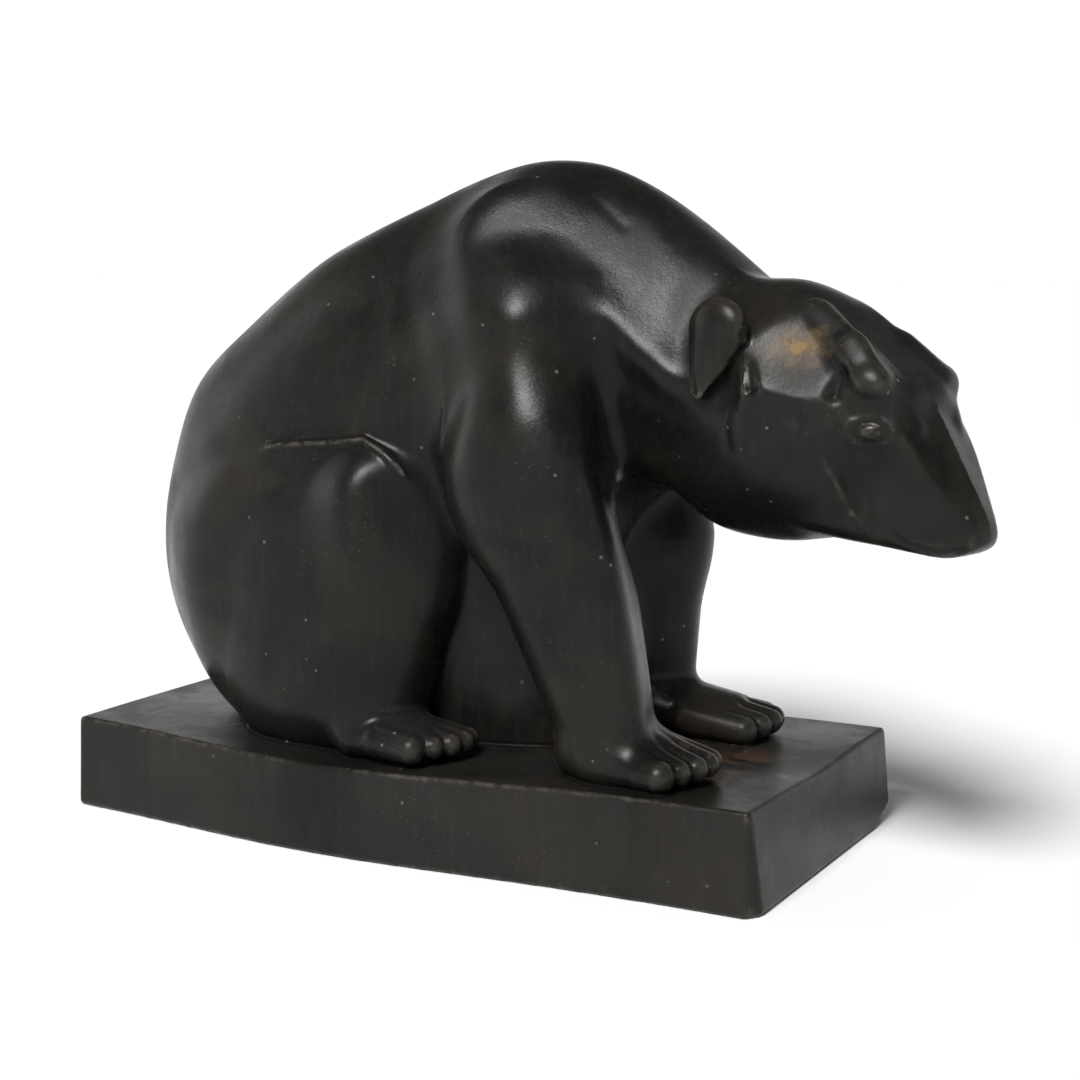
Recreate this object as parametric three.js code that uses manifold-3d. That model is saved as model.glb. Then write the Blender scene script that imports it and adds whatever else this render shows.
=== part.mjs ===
// Polar bear figurine: a heavy, simplified bear sitting back on its haunches
// with its forelegs planted, the head low and turned a little to its right,
// cast in one with the oblong slab that it stands on.
//
// Millimetres, +Z up, +X towards the bear's head. The side shown to the viewer
// is -Y. The origin is in the middle of the flat underside of the slab.
//
// The figure is a field of rounded masses (egg shapes and tapered limbs) that
// run into one another, cut by a few planes and scored by a few grooves. Its
// zero surface is wrapped in a net of quads, and the net is pulled onto the
// surface. The slab is a box of strips with bowed sides. The two are joined.

import * as THREE from "three";
import { mergeVertices } from "three/addons/utils/BufferGeometryUtils.js";
import Module from "manifold-3d";

// ---- driving dimensions ----
const SLAB_LENGTH = 200; // at the corners
const SLAB_WIDTH = 94; // at the corners
const SLAB_HEIGHT = 25;
const SLAB_BOW_NEAR = 7; // how far the long side swells at its fullest
const SLAB_BOW_FAR = 4;
const SLAB_BOW_X = -20; // where it is fullest
const SLAB_DIP = 1.8; // the top sags towards the long sides
const FIGURE_FOOT = 4; // the figure runs down inside the slab to here
const HEAD_X = 90; // the head turns about this upright line
const HEAD_Y = -9;
const HEAD_TURN = -15; // degrees
const NEAR_PAW = [56, -28, 36]; // wrist
const NEAR_PAW_TURN = -8;
const FAR_PAW = [52, 20, 35.5];
const FAR_PAW_TURN = 4;
// size of a net cell: wide on the body, closer towards the head
const CELL_BODY = 6;
const CELL_HEAD = 4.0;
const LEAST_BLEND = 2.4; // tightest rounding the facets hold
const LEAST_LINE = 2; // narrowest groove the facets hold

// ---- the masses ----
// Each row: name, how it is put in, softness of the seam (or height of a
// swelling, depth of a groove), the frame it is set out in, its kind, its sizes.
// Frames: w whole figure; h head, forward, left, up; n and f the two forepaws;
// b after the letter means that the row stands on both sides alike.
// ell: centre, half-axes, turn, tilt. limb: from, to, radius there, radius
// here, width over depth. plane: a point on it, the way it faces. ball: centre,
// reach. line: reach, the points it runs through.
const MASSES = [
  ["pelvis", "join", 1, "w", "ell", [-48.6, 0, 72], [49.2, 41, 54.5], 0, 0],
  ["ribs", "join", 22, "w", "ell", [-19, 0, 106], [62, 40, 51], 0, 33],
  ["shoulders", "join", 12, "w", "ell", [24, 0, 129], [32, 34, 42], 0, 0],
  ["belly", "join", 16, "w", "ell", [2, 0, 48], [44, 24, 60], 0, 0],
  ["chest", "join", 12, "w", "ell", [30, -2, 106], [21, 25, 30], 0, 0],
  ["near shoulder blade", "join", 12, "w", "ell", [22.5, -20.5, 131], [21, 17, 35], 0, 0],
  ["far shoulder blade", "join", 12, "w", "ell", [27, 22, 137], [22, 16, 34.5], 0, 0],
  ["neck", "join", 10, "w", "ell", [26, -1, 126], [62, 25, 47], 0, 0],
  ["side of the neck", "join", 8, "w", "limb", [40, -4, 132], [88, -9, 119], 29, 26, 0.93],
  ["flat nape", "cut", 6, "w", "plane", [50, 0, 169.5], [0.612, 0, 0.79]],
  ["flat side of the neck", "cut", 3.6, "w", "plane", [49.6, -25.9, 147.2], [0.34, -0.80, 0.49]],
  ["flat of the shoulder", "cut", 3.6, "w", "plane", [42, -25.3, 152.4], [0.27, -0.84, 0.46]],
  ["corner of the rump", "swell", 2.4, "wb", "ball", [-76, -12, 114], [15, 22, 15]],
  ["foot of the rump", "swell", 1.5, "wb", "ball", [-68, -20, 50], [16, 20, 22]],
  ["throat", "join", 4, "w", "limb", [46, -3, 116], [92, -10, 104.5], 23.2, 18.5, 0.9],
  ["lower edge of the neck", "groove", -0.9, "wb", "line", 5, [[46, -28, 142], [52, -30, 137], [60, -31, 129], [67, -32, 125], [77, -34, 121]]],
  ["under the neck", "groove", 1.3, "wb", "line", 4, [[51, -30, 130], [58, -31, 121], [66, -31, 116], [76, -33, 113], [83, -34, 110]]],
  ["head", "begin"],
  ["skull", "join", 1, "h", "ell", [0, 0, 114.5], [30, 25, 30.5], 0, 0],
  ["forehead", "join", 10, "h", "ell", [21, 0, 116], [19, 17, 23], 0, 0],
  ["brow", "join", 6, "hb", "ell", [20, -7, 114], [20.5, 12, 20], 0, 0],
  ["cheeks", "join", 6, "h", "ell", [10, 0, 106], [27, 25, 21.3], 0, 0],
  ["temple", "join", 3, "hb", "ell", [14.2, -9, 124.5], [19.5, 19.2, 14.5], 0, 0],
  ["flat crown", "cut", 3, "h", "plane", [8, 0, 146], [0.6, 0, 0.8]],
  ["flat temple", "cut", 3, "hb", "plane", [12, -25.4, 120], [0.33, -0.80, 0.48]],
  ["muzzle", "begin"],
  ["bridge", "join", 1, "hb", "plane", [46.0, 0, 110], [0.845, -0.2, 0.493]],
  ["side of the muzzle", "cut", 2.2, "hb", "plane", [48, -11, 100], [0.533, -0.844, -0.06]],
  ["side of the muzzle by the eye", "cut", 3, "hb", "plane", [40, -14.4, 100], [0.15, -0.987, -0.06]],
  ["under the chin", "cut", 3, "h", "plane", [50, 0, 83.2], [-0.09, 0, -0.996]],
  ["under the nose", "cut", 3, "h", "plane", [54, 0, 84.6], [0.5, 0, -0.866]],
  ["nose", "cut", 4, "h", "plane", [58.3, 0, 0], [1, 0, 0]],
  ["root of the muzzle", "cut", 8, "h", "plane", [9, 0, 0], [-1, 0, 0]],
  ["top of the muzzle", "cut", 6, "h", "plane", [0, 0, 122], [0, 0, 1]],
  ["muzzle", "end", 2.5],
  ["flat under the cheek", "cut", 4, "hb", "plane", [0, -25, 98.5], [0, -0.707, -0.707]],
  ["brow ridge", "join", 4, "hb", "limb", [25.4, -11.4, 128.2], [33.6, -12.9, 120.6], 3.3, 4.6, 1],
  ["upper brow", "begin"],
  ["upper brow", "join", 1, "h", "limb", [16, -9.66, 137.06], [28.5, -13.56, 129.16], 3.3, 3.6, 1],
  ["flat of the upper brow", "cut", 1, "h", "plane", [22.6, -13.4, 134.45], [0.24, -0.79, 0.56]],
  ["upper brow", "end", 2],
  ["lower brow", "begin"],
  ["lower brow", "join", 1, "h", "limb", [28, -13.18, 129.25], [34.6, -15, 122.6], 3.6, 4, 1],
  ["flat of the lower brow", "cut", 1, "h", "plane", [32.5, -16.6, 127.2], [0.33, -0.80, 0.48]],
  ["lower brow", "end", 2],
  ["head", "end", 5],
  ["far upper arm", "join", 7, "w", "limb", [28, 22, 128], [38, 22, 76], 22, 17.5, 0.85],
  ["far forearm", "join", 7, "w", "limb", [38, 22, 76], [42, 21, 34], 17.5, 11, 0.9],
  ["near foreleg", "begin"],
  ["near upper arm", "join", 1, "w", "limb", [27, -25, 130], [33, -29.5, 96], 21, 21.5, 0.84],
  ["near forearm", "join", 10, "w", "limb", [36, -30, 98], [57, -31, 34], 23.4, 14.2, 0.86],
  ["flat front of the forearm", "cut", 4, "w", "plane", [59.6, -38, 86], [0.93, 0.28, 0.16]],
  ["near foreleg", "end", 6],
  ["hollow before the shoulder", "swell", -4, "w", "ball", [57, -33, 108], [8, 9, 17]],
  ["hollow under the neck", "swell", -1.2, "w", "ball", [70, -32, 106], [16, 8, 6]],
  ["fullness of the throat", "swell", 3, "w", "ball", [76, -7, 90], [12, 15, 9]],
  ["hollow between the forelegs", "swell", -9, "w", "ball", [53, -5, 86], [11, 15, 12]],
  ["flank fold, groove", "groove", 1, "wb", "line", 6, [[7, -31, 149], [12, -37, 139], [16, -40.5, 131], [18.5, -41.5, 120], [19, -42, 110], [17, -40, 100], [12, -38, 93]]],
  ["flank fold, edge", "groove", -0.3, "wb", "line", 1.2, [[10.5, -42.5, 131], [12.5, -41, 122], [13.5, -41, 112], [12, -39.5, 103], [8, -38.5, 97]]],
  ["head of the flank fold", "swell", -0.7, "wb", "ball", [9, -33, 147], [9, 9, 13]],
  ["back of the arm", "groove", -0.9, "wb", "line", 7, [[34, -42, 134], [34.5, -43, 124], [37, -44, 112]]],
  ["nape line", "groove", 0.15, "w", "line", 1.6, [[26, -8, 172], [36, -14, 168], [44, -16.5, 163], [51, -17, 157]]],
  ["hind leg", "begin"],
  ["thigh", "join", 1, "wb", "ell", [-30, -26, 70], [40, 21.5, 36], 0, 20],
  ["knee", "join", 6, "wb", "ell", [-10, -31, 88], [20, 16, 18], 0, -25],
  ["shin", "join", 8, "wb", "limb", [-8, -31, 80], [-14, -35, 36], 17, 12.5, 0.9],
  ["ham", "join", 8, "wb", "ell", [-32, -28, 44], [33, 19, 27], 0, 0],
  ["flat front of the shin", "cut", 4, "wb", "plane", [-2, -44, 70], [0.66, -0.751, 0]],
  ["hind leg", "end", [2.2, 14, -40, -70]],
  ["knee cap", "swell", 1.2, "wb", "ball", [-11, -47, 90], [6, 9, 12]],
  ["thigh, edge", "groove", -1.05, "wb", "line", 1.25, [[-54, -46, 98], [-38, -42.5, 102.3], [-22, -42, 103.5], [-10, -41, 105], [-3, -41, 101.5], [4.5, -41, 94.8], [9, -40.5, 88], [12.5, -43, 81]]],
  ["over the thigh", "groove", 1.3, "wb", "line", 3, [[-50, -44, 103], [-38, -42, 106.3], [-22, -42, 108], [-9, -41, 109], [0, -41, 105.5], [8, -41, 98], [12.5, -40, 90]]],
  ["behind the thigh", "groove", 1, "wb", "line", 6, [[-46, -45, 104], [-56, -43, 100], [-68, -39, 93], [-78, -31, 87]]],
  ["hollow below the ear", "swell", -2.4, "hb", "ball", [1.4, -25.5, 120.5], [4.6, 5, 6]],
  ["ears", "join", 1, "hb", "limb", [-4.6, -27.6, 119.3], [-2.2, -23, 132.4], 2, 8.4, 0.5],
  ["groove behind the temple", "groove", 2, "hb", "line", 1.3, [[2, -14, 143], [6, -18, 140.5], [7.2, -22, 136.5], [7, -24.5, 131], [7.5, -24.8, 126], [9.5, -25.4, 120.4]]],
  ["groove under the temple", "groove", 0.5, "hb", "line", 2.4, [[9, -25.5, 119], [13, -25, 117.6], [17, -23.7, 115.8], [20, -22.6, 114.6]]],
  ["dish of the temple", "swell", -0.4, "hb", "ball", [15, -21.5, 128.5], [10, 8, 8]],
  ["eye socket", "swell", -1.3, "hb", "ball", [36, -17, 117], [7, 6, 4]],
  ["inner corner of the eye", "swell", -0.35, "hb", "ball", [38, -14, 112], [5, 5, 6]],
  ["eye", "join", 0.6, "hb", "ell", [35.0, -14.6, 111.2], [4, 2.5, 2.6], 32, 0],
  ["brow, back", "groove", 1.3, "hb", "line", 1.8, [[27.2, -18.3, 119.6], [27.9, -17.4, 122], [28.5, -16.9, 123.8]]],
  ["brow, edge", "groove", -0.7, "hb", "line", 2.4, [[35, -16.7, 123.6], [38.5, -15.5, 119.8], [40.8, -11.5, 116.3], [43, -8.5, 112.5]]],
  ["upper eyelid", "groove", -0.35, "hb", "line", 0.9, [[30.8, -17.9, 111.6], [31.6, -17.1, 113.5], [33.8, -15.8, 114.6], [36.9, -14.5, 114.2], [39.5, -13.3, 111.9]]],
  ["lower eyelid", "groove", -0.35, "hb", "line", 0.9, [[30.8, -17.9, 110.8], [32.3, -17.3, 109.1], [34.4, -16, 108], [37, -14.8, 108.4], [39.3, -13.6, 110.2]]],
  ["cheek, front edge", "groove", -1, "hb", "line", 1.7, [[23.8, -20.3, 109.4], [27, -21, 103.9], [28.4, -18.8, 100.3], [29, -16.6, 96.6], [30.4, -15, 93], [33.4, -13.8, 89.8]]],
  ["before the cheek", "groove", 2, "hb", "line", 3, [[37.5, -15.6, 105], [34, -17, 100.5], [33, -16.4, 95], [35.5, -14.6, 91]]],
  ["hollow before the cheek", "swell", -3, "hb", "ball", [35.5, -16, 98], [5.5, 6, 10]],
  ["mouth", "groove", 0.9, "hb", "line", 0.85, [[30, -15.8, 91], [34.3, -14.3, 90.8], [37.2, -13.8, 90.3], [40.2, -12.8, 88], [43, -12, 86.3], [48, -9.5, 85.2], [54, -6, 86]]],
  ["lobe under the ear", "swell", 1.3, "hb", "ball", [7.2, -26, 115.5], [4.6, 4.5, 7]],
  ["lobe, edge", "groove", 0.9, "hb", "line", 1.3, [[2.8, -26, 107], [2, -26.4, 112], [2.4, -26.2, 116.5], [4.4, -25.8, 119.4]]],
  ["ear, fold", "groove", 0.9, "hb", "line", 1, [[-8.4, -27.5, 135], [-7.6, -28.5, 131], [-6, -29.5, 125], [-5, -28.5, 119]]],
  ["hind foot", "begin"],
  ["hind foot", "join", 1, "wb", "limb", [-12, -38, 28], [5, -38.5, 28.5], 6, 5.6, 1.6],
  ["hind toe 1", "join", 1, "wb", "limb", [-4, -44, 28.6], [6.5, -45.6, 28], 4.4, 3.8, 1],
  ["hind toe 2", "join", 1, "wb", "limb", [1, -41, 30.2], [10.6, -42, 28.4], 3.5, 2.9, 1],
  ["hind toe 3", "join", 1, "wb", "limb", [1, -37.6, 30.8], [13.4, -38, 28.6], 3.5, 2.9, 1],
  ["hind toe 4", "join", 1, "wb", "limb", [1, -34.4, 30.8], [14.6, -33.8, 28.6], 3.5, 2.9, 1],
  ["hind toe 5", "join", 1, "wb", "limb", [1, -31, 30.2], [13.6, -29.8, 28.4], 3.5, 2.9, 1],
  ["hind foot", "end", 4],
  ["near forepaw", "begin"],
  ["near forepaw", "join", 1, "n", "limb", [-7, 0, -5], [11, 0, -6.6], 8.2, 6.2, 1.62],
  ["near toe 1", "join", 1, "n", "limb", [0, -9.6, -6.4], [18.6, -11, -7.4], 5.2, 4, 1],
  ["near toe 2", "join", 1, "n", "limb", [6, -4.8, -3.4], [21, -6, -7], 3.9, 3.1, 1],
  ["near toe 3", "join", 1, "n", "limb", [6, -0.8, -2.8], [22.6, -1, -6.8], 3.7, 3.1, 1],
  ["near toe 4", "join", 1, "n", "limb", [6, 3.2, -3], [22.6, 4, -6.8], 3.7, 3.1, 1],
  ["near toe 5", "join", 1, "n", "limb", [6, 7.4, -4.4], [20.6, 8.6, -7.2], 3.8, 3.1, 1],
  ["near forepaw", "end", 4],
  ["far forepaw", "begin"],
  ["far forepaw", "join", 1, "f", "limb", [-6, 0, -4.5], [12, 0, -6], 8, 6.4, 1.6],
  ["far toe 1", "join", 1, "f", "limb", [4, -9, -5.4], [19.6, -10.4, -7], 4.6, 3.8, 1],
  ["far toe 2", "join", 1, "f", "limb", [4, -4.6, -3], [22.4, -5.4, -6.4], 3.9, 3.3, 1],
  ["far toe 3", "join", 1, "f", "limb", [4, -0.4, -2.6], [23.6, -0.4, -6.2], 3.9, 3.3, 1],
  ["far toe 4", "join", 1, "f", "limb", [4, 4, -3], [22.6, 4.8, -6.4], 3.9, 3.3, 1],
  ["far toe 5", "join", 1, "f", "limb", [4, 8.2, -4.6], [19, 9.8, -6.8], 3.9, 3.3, 1],
  ["far forepaw", "end", 4],
];

// ---- the field ----
const rad = Math.PI / 180;
const softMin = (a, b, k) => {
  const h = Math.max(k - Math.abs(a - b), 0) / k;
  return Math.min(a, b) - h * h * k * 0.25;
};
const softMax = (a, b, k) => -softMin(-a, -b, k);
const ease = (a, b, x) => {
  const t = Math.min(Math.max((x - a) / (b - a), 0), 1);
  return t * t * (3 - 2 * t);
};
// forward, left and up axes of a frame turned about Z and tilted up
function axes(turn, tilt) {
  const y = turn * rad;
  const p = tilt * rad;
  const f = [Math.cos(y) * Math.cos(p), Math.sin(y) * Math.cos(p), Math.sin(p)];
  const l = [-Math.sin(y), Math.cos(y), 0];
  const u = [
    f[1] * l[2] - f[2] * l[1],
    f[2] * l[0] - f[0] * l[2],
    f[0] * l[1] - f[1] * l[0],
  ];
  return [f, l, u];
}
const dot = (a, b) => a[0] * b[0] + a[1] * b[1] + a[2] * b[2];
const sub = (a, b) => [a[0] - b[0], a[1] - b[1], a[2] - b[2]];
const into = (p, c, m) => {
  const q = sub(p, c);
  return [dot(q, m[0]), dot(q, m[1]), dot(q, m[2])];
};
const HEAD_AXES = axes(HEAD_TURN, 0);
const NEAR_AXES = axes(NEAR_PAW_TURN, 0);
const FAR_AXES = axes(FAR_PAW_TURN, 0);
const both = (p) => [p[0], -Math.abs(p[1]), p[2]];

function egg(p, c, r, turn, tilt) {
  const q = turn || tilt ? into(p, c, axes(turn, tilt)) : sub(p, c);
  const a = [q[0] / r[0], q[1] / r[1], q[2] / r[2]];
  const b = [a[0] / r[0], a[1] / r[1], a[2] / r[2]];
  const k = Math.sqrt(dot(a, a));
  return (k * (k - 1)) / Math.max(Math.sqrt(dot(b, b)), 1e-6);
}
function along(p, a, b) {
  const ba = sub(b, a);
  const q = sub(p, a);
  const t = Math.min(Math.max(dot(q, ba) / dot(ba, ba), 0), 1);
  return [q[0] - ba[0] * t, q[1] - ba[1] * t, q[2] - ba[2] * t, t];
}
function limb(p, a, b, ra, rb, s) {
  const v = along(p, a, b);
  v[1] /= s;
  return (Math.sqrt(dot(v, v)) - (ra + (rb - ra) * v[3])) * Math.min(1, s);
}
function offLine(p, points) {
  let least = Infinity;
  for (let i = 1; i < points.length; i++) {
    const v = along(p, points[i - 1], points[i]);
    least = Math.min(least, dot(v, v));
  }
  return least;
}
// grooves and ridges narrower than the facets are left out
const SHAPE = MASSES.filter((m) => m[4] !== "line" || m[5] >= LEAST_LINE);
function figure(p) {
  const h = into(p, [HEAD_X, HEAD_Y, 0], HEAD_AXES);
  const frame = {
    w: p,
    wb: both(p),
    h,
    hb: both(h),
    n: into(p, NEAR_PAW, NEAR_AXES),
    f: into(p, FAR_PAW, FAR_AXES),
  };
  const held = [];
  let d = 1e3;
  for (const [, how, k, where, kind, ...a] of SHAPE) {
    if (how === "begin") {
      held.push(d);
      d = 1e3;
      continue;
    }
    if (how === "end") {
      const soft = Array.isArray(k) ? k[0] + k[1] * ease(k[2], k[3], p[0]) : k;
      d = softMin(held.pop(), d, soft);
      continue;
    }
    const q = frame[where];
    if (kind === "ball") {
      const b = sub(q, a[0]).map((v, i) => v / a[1][i]);
      d -= k * Math.exp(-dot(b, b));
      continue;
    }
    if (kind === "line") {
      d += k * Math.exp(-offLine(q, a[1]) / (a[0] * a[0]));
      continue;
    }
    let e;
    if (kind === "ell") e = egg(q, ...a);
    else if (kind === "limb") e = limb(q, ...a);
    else e = dot(sub(q, a[0]), a[1]);
    const soft = Math.max(k, LEAST_BLEND);
    d = how === "join" ? softMin(d, e, soft) : softMax(d, e, soft);
  }
  return softMax(d, FIGURE_FOOT - p[2], 1);
}

// ---- the net over the field ----
// lines of the grid: cells shrink evenly from one size to the other
function gridLines(from, to, size) {
  const lines = [from];
  while (lines[lines.length - 1] < to) {
    const at = lines[lines.length - 1];
    lines.push(at + size(at));
  }
  return lines;
}
function wrap(field, gx, gy, gz) {
  const [nx, ny, nz] = [gx.length, gy.length, gz.length];
  const at = (i, j, k) => (i * ny + j) * nz + k;
  const value = new Float64Array(nx * ny * nz);
  for (let i = 0; i < nx; i++)
    for (let j = 0; j < ny; j++)
      for (let k = 0; k < nz; k++)
        value[at(i, j, k)] = field([gx[i], gy[j], gz[k]]);
  // no two cells may touch across an edge only: where four corners of a cell
  // face are inside and outside by turns, the shallowest outside one is filled
  for (let turn = 0; turn < 4; turn++)
    for (let i = 1; i < nx - 1; i++)
      for (let j = 1; j < ny - 1; j++)
        for (let k = 1; k < nz - 1; k++)
          for (const [u, v] of [
            [[1, 0, 0], [0, 1, 0]],
            [[0, 1, 0], [0, 0, 1]],
            [[0, 0, 1], [1, 0, 0]],
          ]) {
            const c = [
              at(i, j, k),
              at(i + u[0], j + u[1], k + u[2]),
              at(i + v[0], j + v[1], k + v[2]),
              at(i + u[0] + v[0], j + u[1] + v[1], k + u[2] + v[2]),
            ];
            const s = c.map((m) => value[m] < 0);
            if (s[0] !== s[3] || s[1] !== s[2] || s[0] === s[1]) continue;
            const out = s[0] ? [c[1], c[2]] : [c[0], c[3]];
            value[value[out[0]] < value[out[1]] ? out[0] : out[1]] = -1e-3;
          }
  const id = new Int32Array(nx * ny * nz).fill(-1);
  const points = [];
  for (let i = 0; i < nx - 1; i++)
    for (let j = 0; j < ny - 1; j++)
      for (let k = 0; k < nz - 1; k++) {
        const sum = [0, 0, 0];
        let n = 0;
        for (let c = 0; c < 8; c++)
          for (let ax = 0; ax < 3; ax++) {
            if (c & (1 << ax)) continue;
            const a = [i + (c & 1), j + ((c >> 1) & 1), k + ((c >> 2) & 1)];
            const b = [...a];
            b[ax]++;
            const va = value[at(...a)];
            const vb = value[at(...b)];
            if (va < 0 === vb < 0) continue;
            const t = va / (va - vb);
            const pa = [gx[a[0]], gy[a[1]], gz[a[2]]];
            const pb = [gx[b[0]], gy[b[1]], gz[b[2]]];
            for (let m = 0; m < 3; m++) sum[m] += pa[m] + (pb[m] - pa[m]) * t;
            n++;
          }
        if (n) {
          id[at(i, j, k)] = points.length;
          points.push(sum.map((v) => v / n));
        }
      }
  // pull each point onto the surface, never further than most of a cell
  for (let turn = 0; turn < 2; turn++)
    for (const p of points) {
      const e = 0.08;
      const d = field(p);
      const g = [0, 1, 2].map((m) => {
        const up = [...p];
        const down = [...p];
        up[m] += e;
        down[m] -= e;
        return (field(up) - field(down)) / (2 * e);
      });
      const far = -d / Math.max(dot(g, g), 1e-3);
      const length = Math.abs(far) * Math.sqrt(dot(g, g));
      const hold = Math.min(1, (0.5 * CELL_HEAD) / Math.max(length, 1e-9));
      for (let m = 0; m < 3; m++) p[m] += g[m] * far * hold;
    }
  const faces = [];
  const spin = [
    [1, 2],
    [2, 0],
    [0, 1],
  ];
  const size = [nx, ny, nz];
  for (let ax = 0; ax < 3; ax++) {
    const [u, v] = spin[ax];
    for (let i = 0; i < nx; i++)
      for (let j = 0; j < ny; j++)
        for (let k = 0; k < nz; k++) {
          const a = [i, j, k];
          if (a[ax] >= size[ax] - 1 || a[u] < 1 || a[v] < 1) continue;
          if (a[u] >= size[u] - 1 || a[v] >= size[v] - 1) continue;
          const b = [...a];
          b[ax]++;
          const inside = value[at(...a)] < 0;
          if (inside === value[at(...b)] < 0) continue;
          const corner = (du, dv) => {
            const c = [...a];
            c[u] += du;
            c[v] += dv;
            return id[at(...c)];
          };
          const q = [corner(-1, -1), corner(0, -1), corner(0, 0), corner(-1, 0)];
          if (!inside) q.reverse();
          // split each quad along its shorter diagonal
          const gap = (m, n) => {
            const w = sub(points[q[m]], points[q[n]]);
            return dot(w, w);
          };
          if (gap(0, 2) <= gap(1, 3))
            faces.push(q[0], q[1], q[2], q[0], q[2], q[3]);
          else faces.push(q[1], q[2], q[3], q[1], q[3], q[0]);
        }
  }
  const g = new THREE.BufferGeometry();
  g.setAttribute(
    "position",
    new THREE.BufferAttribute(new Float32Array(points.flat()), 3),
  );
  g.setIndex(faces);
  return g;
}

// ---- the slab ----
// a box of strips whose points are moved to the bowed, slightly sagging shape
function slab() {
  const g = new THREE.BoxGeometry(2, 2, 1, 18, 8, 1);
  g.deleteAttribute("normal");
  g.deleteAttribute("uv");
  const box = mergeVertices(g, 1e-4);
  const p = box.attributes.position;
  for (let i = 0; i < p.count; i++) {
    const u = p.getX(i);
    const v = p.getY(i);
    const up = p.getZ(i) + 0.5; // 0 underside, 1 top
    const z0 = up * SLAB_HEIGHT;
    const end = u < 0 ? 1.5 - 0.03 * z0 : 0.6 - 0.085 * z0;
    const x = u * (SLAB_LENGTH / 2 + end);
    const bow = v < 0 ? SLAB_BOW_NEAR : SLAB_BOW_FAR;
    const swell = bow * Math.exp(-(((x - SLAB_BOW_X) / 60) ** 2));
    const y = v * (SLAB_WIDTH / 2 + 0.5 - 0.02 * z0 + swell);
    const sag = SLAB_DIP * Math.exp(-(((x + 12) / 58) ** 2)) * ease(18, 47, Math.abs(y));
    const slack = ease(60, 100, x) * Math.exp(-((y / 22) ** 2));
    p.setXYZ(i, x, y, up ? z0 - sag - slack : 0);
  }
  return box;
}

// ---- join ----
const wasm = await Module();
wasm.setup();
function solid(geometry) {
  return new wasm.Manifold(
    new wasm.Mesh({
      numProp: 3,
      vertProperties: new Float32Array(geometry.attributes.position.array),
      triVerts: new Uint32Array(geometry.index.array),
    }),
  );
}
const cell = (x) => CELL_BODY + (CELL_HEAD - CELL_BODY) * ease(42, 76, x);
const bear = wrap(
  figure,
  gridLines(-112, 156, cell),
  gridLines(-58, 56, () => 4.9),
  gridLines(-4, 186, (z) => (z < 22 ? 9 : z < 34 ? 3.7 : 4.9)),
);
const joined = solid(bear).add(solid(slab())).getMesh();
const geometry = new THREE.BufferGeometry();
geometry.setAttribute(
  "position",
  new THREE.BufferAttribute(new Float32Array(joined.vertProperties), 3),
);
geometry.setIndex(Array.from(joined.triVerts));
geometry.computeVertexNormals();

const ceramic = new THREE.MeshStandardMaterial({
  color: 0x2b2a27,
  roughness: 0.42,
  metalness: 0,
});
const figurine = new THREE.Mesh(geometry, ceramic);
figurine.name = "bear_on_plinth";

const group = new THREE.Group();
group.add(figurine);
export default group;
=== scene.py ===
import math
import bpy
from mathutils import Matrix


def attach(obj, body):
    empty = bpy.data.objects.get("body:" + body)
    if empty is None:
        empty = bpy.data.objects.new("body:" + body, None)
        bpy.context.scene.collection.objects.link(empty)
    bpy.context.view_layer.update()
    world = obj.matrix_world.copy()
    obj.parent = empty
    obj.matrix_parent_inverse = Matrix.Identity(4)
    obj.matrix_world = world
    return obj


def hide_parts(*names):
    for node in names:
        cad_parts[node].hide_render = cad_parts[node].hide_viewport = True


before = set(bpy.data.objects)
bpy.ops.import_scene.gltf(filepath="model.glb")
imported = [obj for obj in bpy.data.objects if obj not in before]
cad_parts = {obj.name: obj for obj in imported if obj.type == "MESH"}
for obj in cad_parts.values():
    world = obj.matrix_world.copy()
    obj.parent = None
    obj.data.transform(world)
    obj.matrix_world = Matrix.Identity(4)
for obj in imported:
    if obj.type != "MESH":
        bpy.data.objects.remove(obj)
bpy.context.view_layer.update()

from concurrent.futures import ThreadPoolExecutor

import bpy
import numpy as np
from mathutils import Matrix, Vector

# ---------------------------------------------------------------- sizes (mm)
# The same frame as the solid: +Z up, +X towards the head, the side shown is -Y,
# the origin in the middle of the plinth's underside.
SLAB_LENGTH, SLAB_WIDTH, SLAB_HEIGHT = 200.0, 94.0, 25.0
SLAB_BOW_NEAR, SLAB_BOW_FAR, SLAB_BOW_X = 7.0, 4.0, -20.0
SLAB_DIP = 1.8
SLAB_EDGE = 1.1
FIGURE_FOOT = 4.0
HEAD_X, HEAD_Y, HEAD_TURN = 90.0, -9.0, -15.0
NEAR_PAW, NEAR_PAW_TURN = (56, -28, 36), -8
FAR_PAW, FAR_PAW_TURN = (52, 20, 35.5), 4
GRID = 0.72      # cell of the net
MOST_TRIANGLES = 190000

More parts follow.
